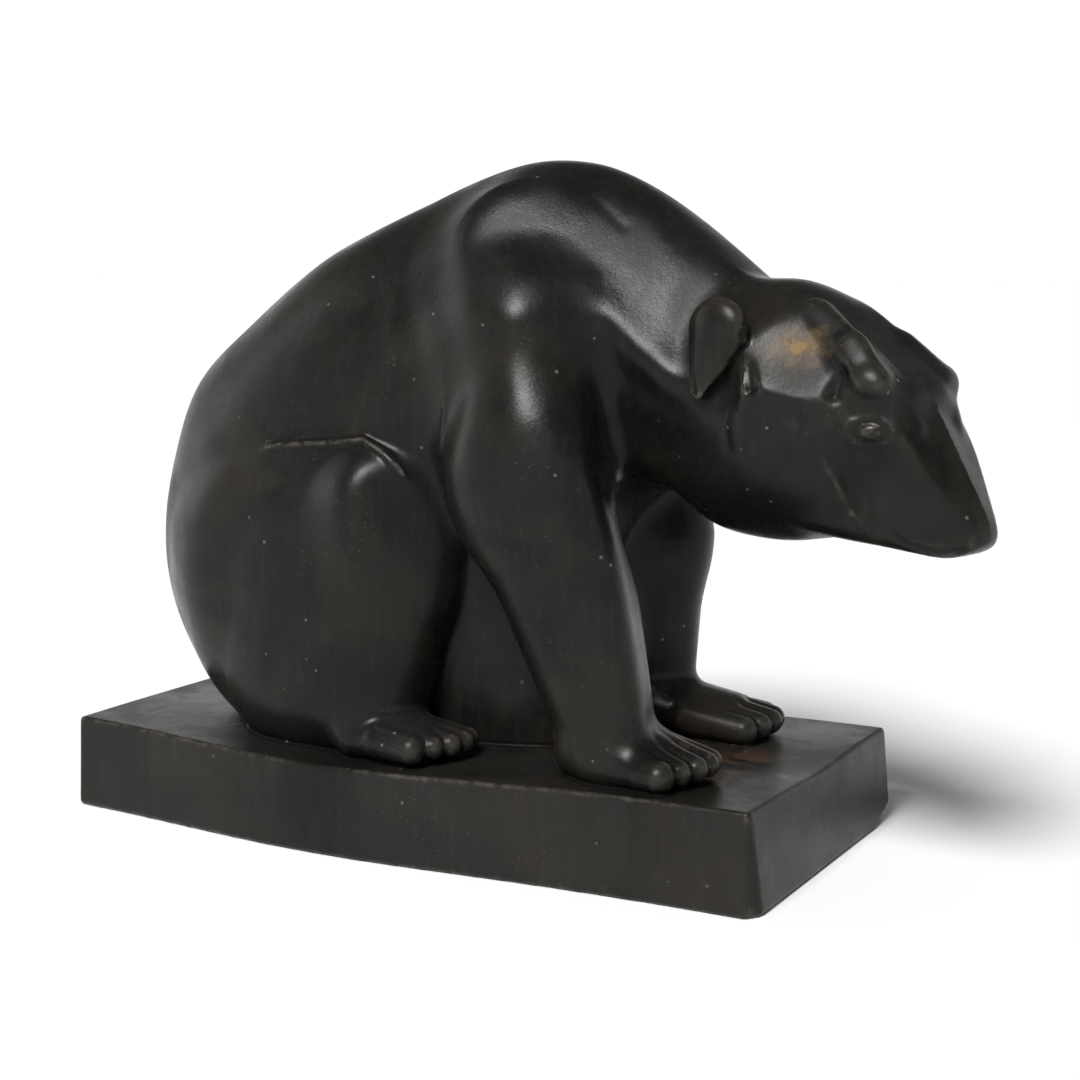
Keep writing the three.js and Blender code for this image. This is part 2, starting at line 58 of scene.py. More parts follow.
# The masses of the figure, as in the solid: name, how it is put in, softness of
# the seam (or height of a swelling, depth of a groove), frame, kind, sizes.
MASSES = [
  ["pelvis", "join", 1, "w", "ell", [-48.6, 0, 72], [49.2, 41, 54.5], 0, 0],
  ["ribs", "join", 22, "w", "ell", [-19, 0, 106], [62, 40, 51], 0, 33],
  ["shoulders", "join", 12, "w", "ell", [24, 0, 129], [32, 34, 42], 0, 0],
  ["belly", "join", 16, "w", "ell", [2, 0, 48], [44, 24, 60], 0, 0],
  ["chest", "join", 12, "w", "ell", [30, -2, 106], [21, 25, 30], 0, 0],
  ["near shoulder blade", "join", 12, "w", "ell", [22.5, -20.5, 131], [21, 17, 35], 0, 0],
  ["far shoulder blade", "join", 12, "w", "ell", [27, 22, 137], [22, 16, 34.5], 0, 0],
  ["neck", "join", 10, "w", "ell", [26, -1, 126], [62, 25, 47], 0, 0],
  ["side of the neck", "join", 8, "w", "limb", [40, -4, 132], [88, -9, 119], 29, 26, 0.93],
  ["flat nape", "cut", 6, "w", "plane", [50, 0, 169.5], [0.612, 0, 0.79]],
  ["flat side of the neck", "cut", 3.6, "w", "plane", [49.6, -25.9, 147.2], [0.34, -0.80, 0.49]],
  ["flat of the shoulder", "cut", 3.6, "w", "plane", [42, -25.3, 152.4], [0.27, -0.84, 0.46]],
  ["corner of the rump", "swell", 2.4, "wb", "ball", [-76, -12, 114], [15, 22, 15]],
  ["foot of the rump", "swell", 1.5, "wb", "ball", [-68, -20, 50], [16, 20, 22]],
  ["throat", "join", 4, "w", "limb", [46, -3, 116], [92, -10, 104.5], 23.2, 18.5, 0.9],
  ["lower edge of the neck", "groove", -0.9, "wb", "line", 5, [[46, -28, 142], [52, -30, 137], [60, -31, 129], [67, -32, 125], [77, -34, 121]]],
  ["under the neck", "groove", 1.3, "wb", "line", 4, [[51, -30, 130], [58, -31, 121], [66, -31, 116], [76, -33, 113], [83, -34, 110]]],
  ["head", "begin"],
  ["skull", "join", 1, "h", "ell", [0, 0, 114.5], [30, 25, 30.5], 0, 0],
  ["forehead", "join", 10, "h", "ell", [21, 0, 116], [19, 17, 23], 0, 0],
  ["brow", "join", 6, "hb", "ell", [20, -7, 114], [20.5, 12, 20], 0, 0],
  ["cheeks", "join", 6, "h", "ell", [10, 0, 106], [27, 25, 21.3], 0, 0],
  ["temple", "join", 3, "hb", "ell", [14.2, -9, 124.5], [19.5, 19.2, 14.5], 0, 0],
  ["flat crown", "cut", 3, "h", "plane", [8, 0, 146], [0.6, 0, 0.8]],
  ["flat temple", "cut", 3, "hb", "plane", [12, -25.4, 120], [0.33, -0.80, 0.48]],
  ["muzzle", "begin"],
  ["bridge", "join", 1, "hb", "plane", [46.0, 0, 110], [0.845, -0.2, 0.493]],
  ["side of the muzzle", "cut", 2.2, "hb", "plane", [48, -11, 100], [0.533, -0.844, -0.06]],
  ["side of the muzzle by the eye", "cut", 3, "hb", "plane", [40, -14.4, 100], [0.15, -0.987, -0.06]],
  ["under the chin", "cut", 3, "h", "plane", [50, 0, 83.2], [-0.09, 0, -0.996]],
  ["under the nose", "cut", 3, "h", "plane", [54, 0, 84.6], [0.5, 0, -0.866]],
  ["nose", "cut", 4, "h", "plane", [58.3, 0, 0], [1, 0, 0]],
  ["root of the muzzle", "cut", 8, "h", "plane", [9, 0, 0], [-1, 0, 0]],
  ["top of the muzzle", "cut", 6, "h", "plane", [0, 0, 122], [0, 0, 1]],
  ["muzzle", "end", 2.5],
  ["flat under the cheek", "cut", 4, "hb", "plane", [0, -25, 98.5], [0, -0.707, -0.707]],
  ["brow ridge", "join", 4, "hb", "limb", [25.4, -11.4, 128.2], [33.6, -12.9, 120.6], 3.3, 4.6, 1],
  ["upper brow", "begin"],
  ["upper brow", "join", 1, "h", "limb", [16, -9.66, 137.06], [28.5, -13.56, 129.16], 3.3, 3.6, 1],
  ["flat of the upper brow", "cut", 1, "h", "plane", [22.6, -13.4, 134.45], [0.24, -0.79, 0.56]],
  ["upper brow", "end", 2],
  ["lower brow", "begin"],
  ["lower brow", "join", 1, "h", "limb", [28, -13.18, 129.25], [34.6, -15, 122.6], 3.6, 4, 1],
  ["flat of the lower brow", "cut", 1, "h", "plane", [32.5, -16.6, 127.2], [0.33, -0.80, 0.48]],
  ["lower brow", "end", 2],
  ["head", "end", 5],
  ["far upper arm", "join", 7, "w", "limb", [28, 22, 128], [38, 22, 76], 22, 17.5, 0.85],
  ["far forearm", "join", 7, "w", "limb", [38, 22, 76], [42, 21, 34], 17.5, 11, 0.9],
  ["near foreleg", "begin"],
  ["near upper arm", "join", 1, "w", "limb", [27, -25, 130], [33, -29.5, 96], 21, 21.5, 0.84],
  ["near forearm", "join", 10, "w", "limb", [36, -30, 98], [57, -31, 34], 23.4, 14.2, 0.86],
  ["flat front of the forearm", "cut", 4, "w", "plane", [59.6, -38, 86], [0.93, 0.28, 0.16]],
  ["near foreleg", "end", 6],
  ["hollow before the shoulder", "swell", -4, "w", "ball", [57, -33, 108], [8, 9, 17]],
  ["hollow under the neck", "swell", -1.2, "w", "ball", [70, -32, 106], [16, 8, 6]],
  ["fullness of the throat", "swell", 3, "w", "ball", [76, -7, 90], [12, 15, 9]],
  ["hollow between the forelegs", "swell", -9, "w", "ball", [53, -5, 86], [11, 15, 12]],
  ["flank fold, groove", "groove", 1, "wb", "line", 6, [[7, -31, 149], [12, -37, 139], [16, -40.5, 131], [18.5, -41.5, 120], [19, -42, 110], [17, -40, 100], [12, -38, 93]]],
  ["flank fold, edge", "groove", -0.3, "wb", "line", 1.2, [[10.5, -42.5, 131], [12.5, -41, 122], [13.5, -41, 112], [12, -39.5, 103], [8, -38.5, 97]]],
  ["head of the flank fold", "swell", -0.7, "wb", "ball", [9, -33, 147], [9, 9, 13]],
  ["back of the arm", "groove", -0.9, "wb", "line", 7, [[34, -42, 134], [34.5, -43, 124], [37, -44, 112]]],
  ["nape line", "groove", 0.15, "w", "line", 1.6, [[26, -8, 172], [36, -14, 168], [44, -16.5, 163], [51, -17, 157]]],
  ["hind leg", "begin"],
  ["thigh", "join", 1, "wb", "ell", [-30, -26, 70], [40, 21.5, 36], 0, 20],
  ["knee", "join", 6, "wb", "ell", [-10, -31, 88], [20, 16, 18], 0, -25],
  ["shin", "join", 8, "wb", "limb", [-8, -31, 80], [-14, -35, 36], 17, 12.5, 0.9],
  ["ham", "join", 8, "wb", "ell", [-32, -28, 44], [33, 19, 27], 0, 0],
  ["flat front of the shin", "cut", 4, "wb", "plane", [-2, -44, 70], [0.66, -0.751, 0]],
  ["hind leg", "end", [2.2, 14, -40, -70]],
  ["knee cap", "swell", 1.2, "wb", "ball", [-11, -47, 90], [6, 9, 12]],
  ["thigh, edge", "groove", -1.05, "wb", "line", 1.25, [[-54, -46, 98], [-38, -42.5, 102.3], [-22, -42, 103.5], [-10, -41, 105], [-3, -41, 101.5], [4.5, -41, 94.8], [9, -40.5, 88], [12.5, -43, 81]]],
  ["over the thigh", "groove", 1.3, "wb", "line", 3, [[-50, -44, 103], [-38, -42, 106.3], [-22, -42, 108], [-9, -41, 109], [0, -41, 105.5], [8, -41, 98], [12.5, -40, 90]]],
  ["behind the thigh", "groove", 1, "wb", "line", 6, [[-46, -45, 104], [-56, -43, 100], [-68, -39, 93], [-78, -31, 87]]],
  ["hollow below the ear", "swell", -2.4, "hb", "ball", [1.4, -25.5, 120.5], [4.6, 5, 6]],
  ["ears", "join", 1, "hb", "limb", [-4.6, -27.6, 119.3], [-2.2, -23, 132.4], 2, 8.4, 0.5],
  ["groove behind the temple", "groove", 2, "hb", "line", 1.3, [[2, -14, 143], [6, -18, 140.5], [7.2, -22, 136.5], [7, -24.5, 131], [7.5, -24.8, 126], [9.5, -25.4, 120.4]]],
  ["groove under the temple", "groove", 0.5, "hb", "line", 2.4, [[9, -25.5, 119], [13, -25, 117.6], [17, -23.7, 115.8], [20, -22.6, 114.6]]],
  ["dish of the temple", "swell", -0.4, "hb", "ball", [15, -21.5, 128.5], [10, 8, 8]],
  ["eye socket", "swell", -1.3, "hb", "ball", [36, -17, 117], [7, 6, 4]],
  ["inner corner of the eye", "swell", -0.35, "hb", "ball", [38, -14, 112], [5, 5, 6]],
  ["eye", "join", 0.6, "hb", "ell", [35.0, -14.6, 111.2], [4, 2.5, 2.6], 32, 0],
  ["brow, back", "groove", 1.3, "hb", "line", 1.8, [[27.2, -18.3, 119.6], [27.9, -17.4, 122], [28.5, -16.9, 123.8]]],
  ["brow, edge", "groove", -0.7, "hb", "line", 2.4, [[35, -16.7, 123.6], [38.5, -15.5, 119.8], [40.8, -11.5, 116.3], [43, -8.5, 112.5]]],
  ["upper eyelid", "groove", -0.35, "hb", "line", 0.9, [[30.8, -17.9, 111.6], [31.6, -17.1, 113.5], [33.8, -15.8, 114.6], [36.9, -14.5, 114.2], [39.5, -13.3, 111.9]]],
  ["lower eyelid", "groove", -0.35, "hb", "line", 0.9, [[30.8, -17.9, 110.8], [32.3, -17.3, 109.1], [34.4, -16, 108], [37, -14.8, 108.4], [39.3, -13.6, 110.2]]],
  ["cheek, front edge", "groove", -1, "hb", "line", 1.7, [[23.8, -20.3, 109.4], [27, -21, 103.9], [28.4, -18.8, 100.3], [29, -16.6, 96.6], [30.4, -15, 93], [33.4, -13.8, 89.8]]],
  ["before the cheek", "groove", 2, "hb", "line", 3, [[37.5, -15.6, 105], [34, -17, 100.5], [33, -16.4, 95], [35.5, -14.6, 91]]],
  ["hollow before the cheek", "swell", -3, "hb", "ball", [35.5, -16, 98], [5.5, 6, 10]],
  ["mouth", "groove", 0.9, "hb", "line", 0.85, [[30, -15.8, 91], [34.3, -14.3, 90.8], [37.2, -13.8, 90.3], [40.2, -12.8, 88], [43, -12, 86.3], [48, -9.5, 85.2], [54, -6, 86]]],
  ["lobe under the ear", "swell", 1.3, "hb", "ball", [7.2, -26, 115.5], [4.6, 4.5, 7]],
  ["lobe, edge", "groove", 0.9, "hb", "line", 1.3, [[2.8, -26, 107], [2, -26.4, 112], [2.4, -26.2, 116.5], [4.4, -25.8, 119.4]]],
  ["ear, fold", "groove", 0.9, "hb", "line", 1, [[-8.4, -27.5, 135], [-7.6, -28.5, 131], [-6, -29.5, 125], [-5, -28.5, 119]]],
  ["hind foot", "begin"],
  ["hind foot", "join", 1, "wb", "limb", [-12, -38, 28], [5, -38.5, 28.5], 6, 5.6, 1.6],
  ["hind toe 1", "join", 1, "wb", "limb", [-4, -44, 28.6], [6.5, -45.6, 28], 4.4, 3.8, 1],
  ["hind toe 2", "join", 1, "wb", "limb", [1, -41, 30.2], [10.6, -42, 28.4], 3.5, 2.9, 1],
  ["hind toe 3", "join", 1, "wb", "limb", [1, -37.6, 30.8], [13.4, -38, 28.6], 3.5, 2.9, 1],
  ["hind toe 4", "join", 1, "wb", "limb", [1, -34.4, 30.8], [14.6, -33.8, 28.6], 3.5, 2.9, 1],
  ["hind toe 5", "join", 1, "wb", "limb", [1, -31, 30.2], [13.6, -29.8, 28.4], 3.5, 2.9, 1],
  ["hind foot", "end", 4],
  ["near forepaw", "begin"],
  ["near forepaw", "join", 1, "n", "limb", [-7, 0, -5], [11, 0, -6.6], 8.2, 6.2, 1.62],
  ["near toe 1", "join", 1, "n", "limb", [0, -9.6, -6.4], [18.6, -11, -7.4], 5.2, 4, 1],
  ["near toe 2", "join", 1, "n", "limb", [6, -4.8, -3.4], [21, -6, -7], 3.9, 3.1, 1],
  ["near toe 3", "join", 1, "n", "limb", [6, -0.8, -2.8], [22.6, -1, -6.8], 3.7, 3.1, 1],
  ["near toe 4", "join", 1, "n", "limb", [6, 3.2, -3], [22.6, 4, -6.8], 3.7, 3.1, 1],
  ["near toe 5", "join", 1, "n", "limb", [6, 7.4, -4.4], [20.6, 8.6, -7.2], 3.8, 3.1, 1],
  ["near forepaw", "end", 4],
  ["far forepaw", "begin"],
  ["far forepaw", "join", 1, "f", "limb", [-6, 0, -4.5], [12, 0, -6], 8, 6.4, 1.6],
  ["far toe 1", "join", 1, "f", "limb", [4, -9, -5.4], [19.6, -10.4, -7], 4.6, 3.8, 1],
  ["far toe 2", "join", 1, "f", "limb", [4, -4.6, -3], [22.4, -5.4, -6.4], 3.9, 3.3, 1],
  ["far toe 3", "join", 1, "f", "limb", [4, -0.4, -2.6], [23.6, -0.4, -6.2], 3.9, 3.3, 1],
  ["far toe 4", "join", 1, "f", "limb", [4, 4, -3], [22.6, 4.8, -6.4], 3.9, 3.3, 1],
  ["far toe 5", "join", 1, "f", "limb", [4, 8.2, -4.6], [19, 9.8, -6.8], 3.9, 3.3, 1],
  ["far forepaw", "end", 4],
]

# ---------------------------------------------------------------- the field
F = np.float32


def vec(*v):
    return np.array(v, F)


def axes(turn, tilt=0.0):
    y, p = np.radians([turn, tilt])
    f = np.array([np.cos(y) * np.cos(p), np.sin(y) * np.cos(p), np.sin(p)])
    l = np.array([-np.sin(y), np.cos(y), 0.0])
    return np.array([f, l, np.cross(f, l)], F)


def soft_min(a, b, k):
    h = np.maximum(k - np.abs(a - b), 0) / k
    return np.minimum(a, b) - h * h * k * F(0.25)


def soft_max(a, b, k):
    return -soft_min(-a, -b, k)


def ease(a, b, x):
    t = np.clip((x - a) / (b - a), 0, 1)
    return t * t * (3 - 2 * t)


def egg(p, c, r, turn, tilt):
    q = p - vec(*c)
    if turn or tilt:
        q = q @ axes(turn, tilt).T
    r = vec(*r)
    a = q / r
    b = a / r
    k = np.sqrt((a * a).sum(-1))
    return k * (k - 1) / np.maximum(np.sqrt((b * b).sum(-1)), 1e-6)


def limb(p, a, b, ra, rb, s):
    a = vec(*a)
    ba = vec(*b) - a
    q = p - a
    t = np.clip((q @ ba) / F(ba @ ba), 0, 1)
    v = q - t[:, None] * ba
    v[:, 1] /= F(s)
    return (np.sqrt((v * v).sum(-1)) - (ra + (rb - ra) * t)) * min(1.0, s)


def off_line(p, points):
    least = None
    for a, b in zip(points[:-1], points[1:]):
        a = vec(*a)
        ba = vec(*b) - a
        q = p - a
        t = np.clip((q @ ba) / F(ba @ ba), 0, 1)
        v = q - t[:, None] * ba
        e = (v * v).sum(-1)
        least = e if least is None else np.minimum(least, e)
    return least


TURNED = {
    "w": (vec(0, 0, 0), axes(0)),
    "h": (vec(HEAD_X, HEAD_Y, 0), axes(HEAD_TURN)),
    "n": (vec(*NEAR_PAW), axes(NEAR_PAW_TURN)),
    "f": (vec(*FAR_PAW), axes(FAR_PAW_TURN)),
}


def seen_in(p, name):
    """Points as the frame called name sees them."""
    c, m = TURNED[name[0]]
    q = p if name[0] == "w" else (p - c) @ m.T
    if name[1:] == "b":
        q = q.copy()
        q[:, 1] = -np.abs(q[:, 1])
    return q


def reach_of(row):
    """Centre and reach of a row, past which it can't alter the surface."""
    name, how = row[:2]
    if how in ("begin", "end"):
        return (0, 0, 0), 1e6
    kind = row[4]
    if name == "bridge":
        return (42, 0, 100), 42
    if kind == "ell":
        return row[5], max(row[6]) + row[2] + 10
    if kind == "limb":
        a, b = vec(*row[5]), vec(*row[6])
        half = float(np.sqrt(((a - b) ** 2).sum())) / 2
        return (a + b) / 2, half + max(row[7], row[8]) * max(1, row[9]) + row[2] + 8
    if kind == "ball":
        return row[5], 2.6 * max(row[6])
    if kind == "line":
        q = np.array(row[6], F)
        m = (q.max(0) + q.min(0)) / 2
        return m, float(np.sqrt(((q - m) ** 2).sum(-1)).max()) + 2.6 * row[5]
    return (0, 0, 0), 1e6


REACH = [reach_of(row) for row in MASSES]
CENTRE = np.array([r[0] for r in REACH], float)
RADIUS = np.array([r[1] for r in REACH], float)
SEEN = ["w" if row[1] in ("begin", "end") else row[3] for row in MASSES]
GROUPS = {}
_open = []
for _i, _row in enumerate(MASSES):
    if _row[1] == "begin":
        _open.append((_i, []))
    elif _row[1] == "end":
        _start, _joins = _open.pop()
        GROUPS[_start] = (_i, _joins)
        if _open:
            _open[-1][1].extend(_joins)
    elif _row[1] == "join" and _open:
        _open[-1][1].append(_i)


def rows_near(lo, hi):
    """Which rows matter inside a box of the whole figure's frame."""
    box = np.array([[(lo, hi)[i][0], (lo, hi)[j][1], (lo, hi)[k][2]] for i in (0, 1) for j in (0, 1) for k in (0, 1)])
    low, high = {}, {}
    for name in TURNED:
        q = seen_in(box, name)
        low[name], high[name] = q.min(0), q.max(0)
        a, b = q.min(0), q.max(0)
        top = 0.0 if a[1] < 0 < b[1] else -min(abs(a[1]), abs(b[1]))
        low[name + "b"] = np.array([a[0], -max(abs(a[1]), abs(b[1])), a[2]])
        high[name + "b"] = np.array([b[0], top, b[2]])
    l = np.array([low[n] for n in SEEN])
    h = np.array([high[n] for n in SEEN])
    gap = np.maximum(np.maximum(l - CENTRE, CENTRE - h), 0)
    return (gap * gap).sum(1) <= RADIUS**2


def figure(p):
    live = rows_near(p.min(0), p.max(0))
    at = {}
    d = np.full(len(p), 1e3, F)
    held = []
    i = -1
    while i + 1 < len(MASSES):
        i += 1
        row = MASSES[i]
        how = row[1]
        if how == "begin":
            end, joins = GROUPS[i]
            if not live[joins].any():
                i = end
                continue
            held.append(d)
            d = np.full(len(p), 1e3, F)
            continue
        k = row[2]
        if how == "end":
            if isinstance(k, list):
                k = k[0] + k[1] * ease(k[2], k[3], p[:, 0])
            d = soft_min(held.pop(), d, k)
            continue
        if not live[i]:
            continue
        if row[3] not in at:
            at[row[3]] = seen_in(p, row[3])
        q, kind, a = at[row[3]], row[4], row[5:]
        if kind == "ball":
            b = (q - vec(*a[0])) / vec(*a[1])
            d = d - k * np.exp(-(b * b).sum(-1))
            continue
        if kind == "line":
            d = d + k * np.exp(-off_line(q, a[1]) / (a[0] * a[0]))
            continue
        if kind == "ell":
            e = egg(q, *a)
        elif kind == "limb":
            e = limb(q, *a)
        else:
            e = (q - vec(*a[0])) @ vec(*a[1])
        d = soft_min(d, e, k) if how == "join" else soft_max(d, e, k)
    return soft_max(d, FIGURE_FOOT - p[:, 2], 1)


def slab(p):
    x, y, z = p[:, 0], p[:, 1], p[:, 2]
    half = SLAB_LENGTH / 2
    hx = np.where(x < 0, half + 1.5 - 0.03 * z, half + 0.6 - 0.085 * z)
    bow = np.where(y < 0, SLAB_BOW_NEAR, SLAB_BOW_FAR)
    hy = SLAB_WIDTH / 2 + 0.5 - 0.02 * z + bow * np.exp(-(((x - SLAB_BOW_X) / 60) ** 2))
    sag = SLAB_DIP * np.exp(-(((x + 12) / 58) ** 2)) * ease(18, 47, np.abs(y))
    top = SLAB_HEIGHT - sag - ease(60, 100, x) * np.exp(-((y / 22) ** 2))
    q = np.stack([np.abs(x) - hx, np.abs(y) - hy, np.maximum(z - top, -z)], -1)
    # the chipped foot of the far right corner, and the rubbed near right edge
    q += SLAB_EDGE
    d = np.sqrt((np.maximum(q, 0) ** 2).sum(-1)) + np.minimum(q.max(-1), 0) - SLAB_EDGE
    chip = (x - 99.2) * 0.62 + (y - 45.5) * 0.3 - (z - 3.2) * 0.72
    d = soft_max(d, chip + 0.35 * np.sin(y * 1.9) * np.cos(z * 1.3 + x), 0.5)
    rub = (x - 98.6) * 0.8 - (y + 46.2) * 0.6
    return soft_max(d, rub, 0.6)


def whole(p):
    return soft_min(figure(p), slab(p), 1.2)


POOL = ThreadPoolExecutor(4)


def field(p, lot=64.0):
    """Height above the surface. Points are taken in lots that lie close together."""
    p = p.astype(F)
    out = np.empty(len(p), F)
    key = np.floor(p / lot).astype(np.int64) @ np.array([40000, 200, 1])
    order = np.argsort(key, kind="stable")
    lots = np.split(order, np.flatnonzero(np.diff(key[order])) + 1)

    def do(ix):
        out[ix] = whole(p[ix])

    list(POOL.map(do, lots))
    return out


# ---------------------------------------------------------------- the net
def pull(v, most, turns=1, e=0.06):
    """Moves points onto the surface. Also returns the way out there."""
    for _ in range(turns):
        d = field(v)
        g = np.empty_like(v)
        for i in range(3):
            o = np.zeros(3)
            o[i] = e
            g[:, i] = (field(v + o) - d) / e
        s = -(d / np.maximum((g * g).sum(-1), 1e-3))[:, None] * g
        l = np.sqrt((s * s).sum(-1))[:, None]
        v = v + s * np.minimum(1, most / np.maximum(l, 1e-9))
    return v, g / np.maximum(np.sqrt((g * g).sum(-1)), 1e-9)[:, None]


def wrap(h, lo, hi, wide=4):
    lo = np.array(lo, float)
    n = np.ceil((np.array(hi, float) - lo) / (h * wide)).astype(int) * wide + 1
    line = [lo[i] + h * np.arange(n[i]) for i in range(3)]
    coarse = [line[i][::wide] for i in range(3)]
    c = np.stack(np.meshgrid(*coarse, indexing="ij"), -1).reshape(-1, 3)
    fc = field(c, 80.0).reshape([len(a) for a in coarse])
    near = np.abs(fc) < h * wide * 1.9
    cell = np.zeros([len(a) - 1 for a in coarse], bool)
    for i in (0, 1):
        for j in (0, 1):
            for k in (0, 1):
                cell |= near[i : i + cell.shape[0], j : j + cell.shape[1], k : k + cell.shape[2]]
    big = np.repeat(np.repeat(np.repeat(cell, wide, 0), wide, 1), wide, 2)
    mask = np.zeros(n, bool)
    mask[:-1, :-1, :-1] |= big
    mask[1:, 1:, 1:] |= big
    ii = [np.clip((np.arange(n[a]) + wide // 2) // wide, 0, len(coarse[a]) - 1) for a in range(3)]
    grid = fc[np.ix_(*ii)].astype(F)
    grid[mask] = field(lo + np.argwhere(mask) * h)
    # no two cells touch across an edge only
    for _ in range(4):
        s = grid < 0
        for u, v in ((0, 1), (1, 2), (2, 0)):

            def part(du, dv):
                q = [slice(0, m - 1) if a in (u, v) else slice(0, m) for a, m in enumerate(grid.shape)]
                if du:
                    q[u] = slice(1, grid.shape[u])
                if dv:
                    q[v] = slice(1, grid.shape[v])
                return s[tuple(q)]

            a, b, c_, d = part(0, 0), part(1, 0), part(0, 1), part(1, 1)
            for i in np.argwhere((a == d) & (b == c_) & (a != b)):
                o = [tuple(i)]
                for du, dv in ((1, 0), (0, 1), (1, 1)):
                    e = list(i)
                    e[u] += du
                    e[v] += dv
                    o.append(tuple(e))
                out = (o[1], o[2]) if s[o[0]] else (o[0], o[3])
                grid[out[0] if grid[out[0]] < grid[out[1]] else out[1]] = -1e-3
    s = grid < 0
    nx, ny, nz = grid.shape
    corners = [(i, j, k) for i in (0, 1) for j in (0, 1) for k in (0, 1)]
    count = np.zeros((nx - 1, ny - 1, nz - 1), np.int8)
    for o in corners:
        count += s[o[0] : nx - 1 + o[0], o[1] : ny - 1 + o[1], o[2] : nz - 1 + o[2]]
    live = (count > 0) & (count < 8)
    at = np.argwhere(live)
    number = -np.ones(live.shape, np.int64)
    number[live] = np.arange(len(at))
    total, hits = np.zeros((len(at), 3)), np.zeros(len(at))
    for a in corners:
        for ax in range(3):
            if a[ax]:
                continue
            b = list(a)
            b[ax] = 1
            ga = grid[at[:, 0] + a[0], at[:, 1] + a[1], at[:, 2] + a[2]]
            gb = grid[at[:, 0] + b[0], at[:, 1] + b[1], at[:, 2] + b[2]]
            m = (ga < 0) != (gb < 0)
            q = np.array(a, float) + np.zeros((len(at), 3))
            q[:, ax] = np.where(m, ga / np.where(m, ga - gb, 1), 0)
            total[m] += q[m]
            hits[m] += 1
    v = lo + (at + total / hits[:, None]) * h
    quads = []
    for ax in range(3):
        o = [0, 0, 0]
        o[ax] = 1
        a0, b0 = s[: nx - o[0], : ny - o[1], : nz - o[2]], s[o[0] :, o[1] :, o[2] :]
        cross = np.argwhere(a0 != b0)
        u, w = [(1, 2), (2, 0), (0, 1)][ax]
        ok = (cross[:, u] > 0) & (cross[:, w] > 0)
        ok &= (cross[:, u] < grid.shape[u] - 1) & (cross[:, w] < grid.shape[w] - 1)
        cross = cross[ok]
        inside = a0[cross[:, 0], cross[:, 1], cross[:, 2]]

        def corner(du, dw):
            e = cross.copy()
            e[:, u] += du
            e[:, w] += dw
            return number[e[:, 0], e[:, 1], e[:, 2]]

        q = np.stack([corner(-1, -1), corner(0, -1), corner(0, 0), corner(-1, 0)], -1)
        q[~inside] = q[~inside][:, ::-1]
        quads.append(q)
    return v, np.concatenate(quads)


def mesh_object(name, v, faces):
    me = bpy.data.meshes.new(name)
    me.from_pydata((v / 1000).tolist(), [], faces.tolist())
    me.update()
    ob = bpy.data.objects.new(name, me)
    bpy.context.scene.collection.objects.link(ob)
    return ob


v, quads = wrap(GRID, (-108, -60, -4), (156, 58, 184))
v, _ = pull(v, 0.6 * GRID)
# a closed flat underside
raw = mesh_object("raw", v, quads)
thin = raw.modifiers.new("thin", "DECIMATE")
thin.ratio = min(1.0, MOST_TRIANGLES / (2.0 * len(quads)))
thin.use_collapse_triangulate = True
done = raw.evaluated_get(bpy.context.evaluated_depsgraph_get()).to_mesh()
count = len(done.vertices)
v = np.empty(count * 3)
done.vertices.foreach_get("co", v)
v = v.reshape(-1, 3) * 1000
tri = np.empty(len(done.polygons) * 3, np.int64)
done.polygons.foreach_get("vertices", tri)
tri = tri.reshape(-1, 3)
bpy.data.objects.remove(raw)
v, out = pull(v, 0.35)
v[:, 2] = np.where(v[:, 2] < 0.25, 0.0, v[:, 2])

bear = mesh_object("bear_on_plinth_fine", v, tri)
me = bear.data
for poly in me.polygons:
    poly.use_smooth = True
me.normals_split_custom_set_from_vertices(out.tolist())

# how far each point stands out of, or lies in, its surroundings (per mm)
side = np.concatenate([tri[:, [0, 1]], tri[:, [1, 2]], tri[:, [2, 0]]])
step = v[side[:, 0]] - v[side[:, 1]]
bend = ((out[side[:, 0]] - out[side[:, 1]]) * step).sum(1) / np.maximum((step * step).sum(1), 1e-6)
share = np.bincount(side.ravel(), minlength=len(v)).astype(float)


def gather(val):
    return (np.bincount(side[:, 0], val, len(v)) + np.bincount(side[:, 1], val, len(v))) / share


edge = gather(np.clip(bend, -3, 3))
# the seam where the figure meets the plinth is counted as a deep crease, so the material paints shade along it
# (darker colour, less shine)
seam = np.concatenate([
    np.maximum(np.abs(figure(part)), np.abs(slab(part)))
    for part in np.array_split(v.astype(F), 40)
])
edge -= np.clip(1.0 - seam / 1.6, 0.0, 1.0)
form = edge.copy()
for _ in range(30):
    form = 0.5 * form + 0.5 * (
        np.bincount(side[:, 0], form[side[:, 1]], len(v)) + np.bincount(side[:, 1], form[side[:, 0]], len(v))
    ) / share
# the edge attribute carries both the rubbed ridges (wear) and the painted shade of the creases and the seam
for name, val in (("edge", edge), ("form", form)):
    at = me.attributes.new(name, "FLOAT", "POINT")
    at.data.foreach_set("value", val.astype(F))

# ---------------------------------------------------------------- material
SPOT = (101.8, -30.4, 129.8)  # the rub on the near temple, mm


